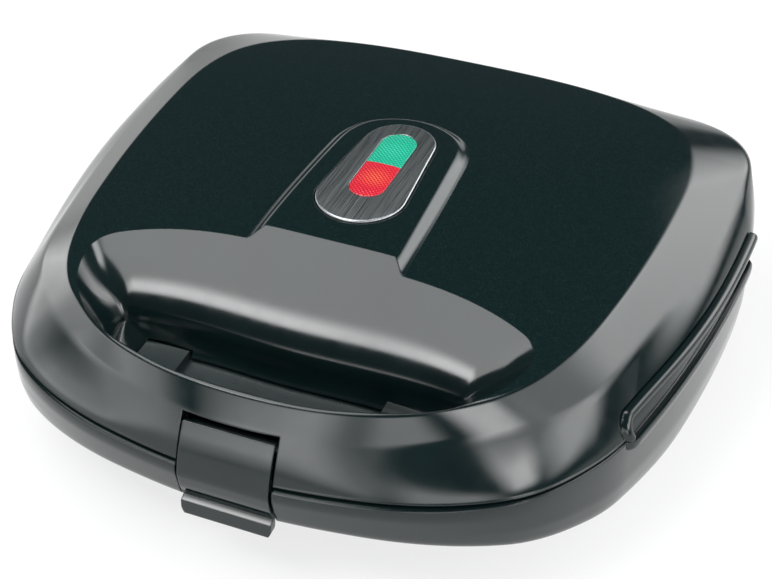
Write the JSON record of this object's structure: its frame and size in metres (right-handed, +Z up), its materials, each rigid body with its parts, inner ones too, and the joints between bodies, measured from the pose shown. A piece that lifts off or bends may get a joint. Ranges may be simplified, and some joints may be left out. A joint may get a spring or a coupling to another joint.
{
  "type": "sandwich toaster",
  "caption": "Clamshell sandwich toaster: domed lid hinged at the rear with a scooped finger recess behind a ring handle, front latch clip, signal lamps and cut-and-seal plates.",
  "frame": {"origin": "on the plane that the feet stand on, in the middle plane of the housing, which is 1.2 mm off the middle of the bounding box because the rail and the flange are on the right side only", "axes": "+X across to the right, where the rail is, +Y to the rear where the hinge is, +Z up; the latch is at -Y"},
  "size_m": [0.2468, 0.2458, 0.0777],
  "materials": {
    "housing_gloss": "polished dark blue-grey moulded plastic, panel on top with a very fine sparkle",
    "frame_plastic": "satin dark moulded plastic",
    "rubber": "matt black rubber",
    "plate_coating": "dark non-stick coating on cast plates, satin",
    "tube_steel": "heat-darkened steel tube",
    "steel": "plain steel",
    "shield_sheet": "bright thin sheet",
    "bezel_metal": "brushed along its length, polished edge",
    "red_window": "clear red plastic with a fine grid of facets",
    "green_window": "clear green plastic with a fine grid of facets",
    "lamp_glass": "clear",
    "terminal_plastic": "matt cream",
    "ceramic": "matt white",
    "board": "green board",
    "wire_sleeve": "silicone sleeve"
  },
  "bodies": {
    "base": {"base_shell": "housing_gloss", "base_deck": "frame_plastic", "rubber_feet": "rubber", "cord_bush": "rubber", "lower_plate": "plate_coating", "lower_heating_element": "tube_steel", "lower_element_clips": "steel", "lower_plate_screws": "steel", "base_heat_shield": "shield_sheet", "terminal_block": "terminal_plastic", "base_wiring": "wire_sleeve", "base_hinge_brackets": "frame_plastic", "base_hinge_screws": "steel", "hinge_pins": "steel"},
    "lid": {"lid_shell": "housing_gloss", "lid_deck": "frame_plastic", "upper_plate": "plate_coating", "upper_heating_element": "tube_steel", "upper_element_clips": "steel", "upper_plate_screws": "steel", "lid_heat_shield": "shield_sheet", "thermostat": "ceramic", "thermal_fuse": "ceramic", "lamp_board": "board", "power_lamp": "lamp_glass", "ready_lamp": "lamp_glass", "indicator_bezel": "bezel_metal", "red_lens": "red_window", "green_lens": "green_window", "lid_wiring": "wire_sleeve", "lid_hinge_arms": "frame_plastic", "lid_hinge_screws": "steel", "latch_bearings": "frame_plastic", "latch_pin": "steel"},
    "latch": {"latch": "housing_gloss"}
  },
  "joints": [
    {"name": "lid_hinge", "type": "hinge", "parent": "base", "child": "lid", "pos_m": [0, 0.1169, 0.042], "axis": [-1, 0, 0], "range_deg": [0, 105]},
    {"name": "latch_pivot", "type": "hinge", "parent": "lid", "child": "latch", "pos_m": [0, -0.1125, 0.0505], "axis": [-1, 0, 0], "range_deg": [0, 35]}
  ]
}
